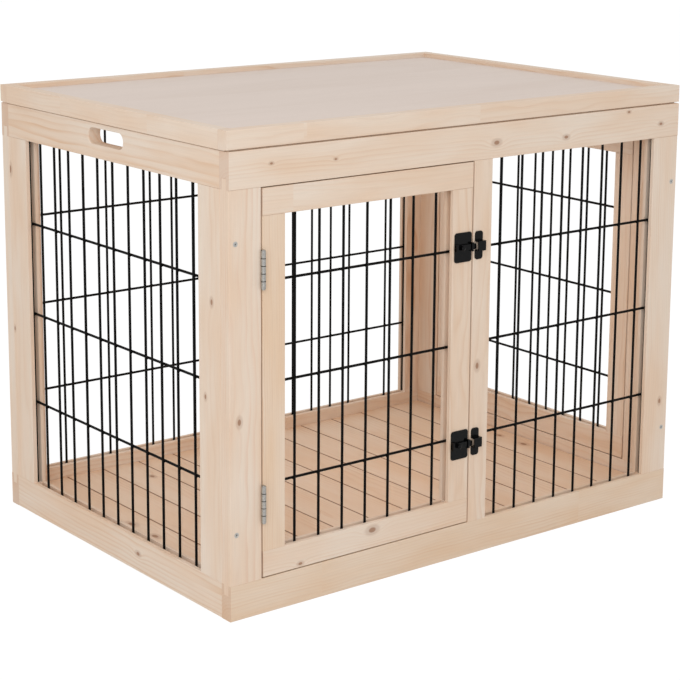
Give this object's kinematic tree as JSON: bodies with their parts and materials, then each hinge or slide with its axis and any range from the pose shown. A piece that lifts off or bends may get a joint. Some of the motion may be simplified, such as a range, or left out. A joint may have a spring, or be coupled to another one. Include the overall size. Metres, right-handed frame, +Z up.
{
  "type": "dog crate end table",
  "caption": "Wooden dog crate with black wire grilles, hinged doors on the front and one side with slide bolts, a boarded floor, and a tray-like tabletop that makes it an end table.",
  "frame": {"origin": "centre of the wooden box's footprint, at floor level", "axes": "+Z up, -Y towards the front with the door and the grilled bay, +X towards the side with the second door"},
  "size_m": [0.8305, 0.6005, 0.649],
  "materials": {
    "frame_pine": "planed spruce boards, clear matt finish, eased edges",
    "floor_pine": "planed softwood, clear matt finish",
    "top_plywood": "sanded veneer plywood, clear matt finish",
    "black_wire": "black powder coat, satin",
    "black_latch": "black enamel, satin",
    "zinc_hinge": "zinc-plated steel",
    "zinc_screw": "zinc-plated steel"
  },
  "bodies": {
    "frame": {"back_bottom_rail": "frame_pine", "back_grille": "black_wire", "back_left_stile": "frame_pine", "back_right_stile": "frame_pine", "back_top_rail": "frame_pine", "fitting_screws": "zinc_screw", "fixing_screws": "zinc_screw", "floor_bearer": "floor_pine", "floor_boards": "floor_pine", "floor_cleats": "floor_pine", "frame_screws": "zinc_screw", "front_bay_grille": "black_wire", "front_bottom_rail": "frame_pine", "front_hinge_frame_leaves": "zinc_hinge", "front_hinge_pins": "zinc_hinge", "front_keepers": "black_latch", "front_left_stile": "frame_pine", "front_post": "frame_pine", "front_right_stile": "frame_pine", "front_top_rail": "frame_pine", "left_back_stile": "frame_pine", "left_bottom_rail": "frame_pine", "left_front_stile": "frame_pine", "left_grille": "black_wire", "left_top_rail": "frame_pine", "right_back_stile": "frame_pine", "right_bottom_rail": "frame_pine", "right_front_stile": "frame_pine", "right_hinge_frame_leaves": "zinc_hinge", "right_hinge_pins": "zinc_hinge", "right_keepers": "black_latch", "right_top_rail": "frame_pine", "top_battens": "floor_pine", "top_dowels": "floor_pine", "top_panel": "top_plywood", "top_rim_back": "frame_pine", "top_rim_front": "frame_pine", "top_rim_left": "frame_pine", "top_rim_right": "frame_pine"},
    "front_door": {"front_door_bottom_rail": "frame_pine", "front_door_grille": "black_wire", "front_door_hinge_stile": "frame_pine", "front_door_latch_stile": "frame_pine", "front_door_screws": "zinc_screw", "front_door_top_rail": "frame_pine", "front_hinge_door_leaves": "zinc_hinge", "front_latch_plates": "black_latch"},
    "right_door": {"right_door_bottom_rail": "frame_pine", "right_door_grille": "black_wire", "right_door_hinge_stile": "frame_pine", "right_door_latch_stile": "frame_pine", "right_door_screws": "zinc_screw", "right_door_top_rail": "frame_pine", "right_hinge_door_leaves": "zinc_hinge", "right_latch_plates": "black_latch"},
    "front_bolt_lower": {"front_bolt_lower": "black_latch"},
    "front_bolt_upper": {"front_bolt_upper": "black_latch"},
    "right_bolt_lower": {"right_bolt_lower": "black_latch"},
    "right_bolt_upper": {"right_bolt_upper": "black_latch"}
  },
  "joints": [
    {"name": "front_door_hinge", "type": "hinge", "parent": "frame", "child": "front_door", "pos_m": [-0.359, -0.2994, 0.311], "axis": [0, 0, -1], "range_deg": [0, 170]},
    {"name": "right_door_hinge", "type": "hinge", "parent": "frame", "child": "right_door", "pos_m": [0.4134, -0.225, 0.311], "axis": [0, 0, -1], "range_deg": [0, 170]},
    {"name": "front_bolt_lower_slide", "type": "slide", "parent": "front_door", "child": "front_bolt_lower", "axis": [1, 0, 0], "range_m": [-0.004, 0.011]},
    {"name": "front_bolt_upper_slide", "type": "slide", "parent": "front_door", "child": "front_bolt_upper", "axis": [1, 0, 0], "range_m": [-0.004, 0.011]},
    {"name": "right_bolt_lower_slide", "type": "slide", "parent": "right_door", "child": "right_bolt_lower", "axis": [0, 1, 0], "range_m": [-0.004, 0.011]},
    {"name": "right_bolt_upper_slide", "type": "slide", "parent": "right_door", "child": "right_bolt_upper", "axis": [0, 1, 0], "range_m": [-0.004, 0.011]}
  ]
}
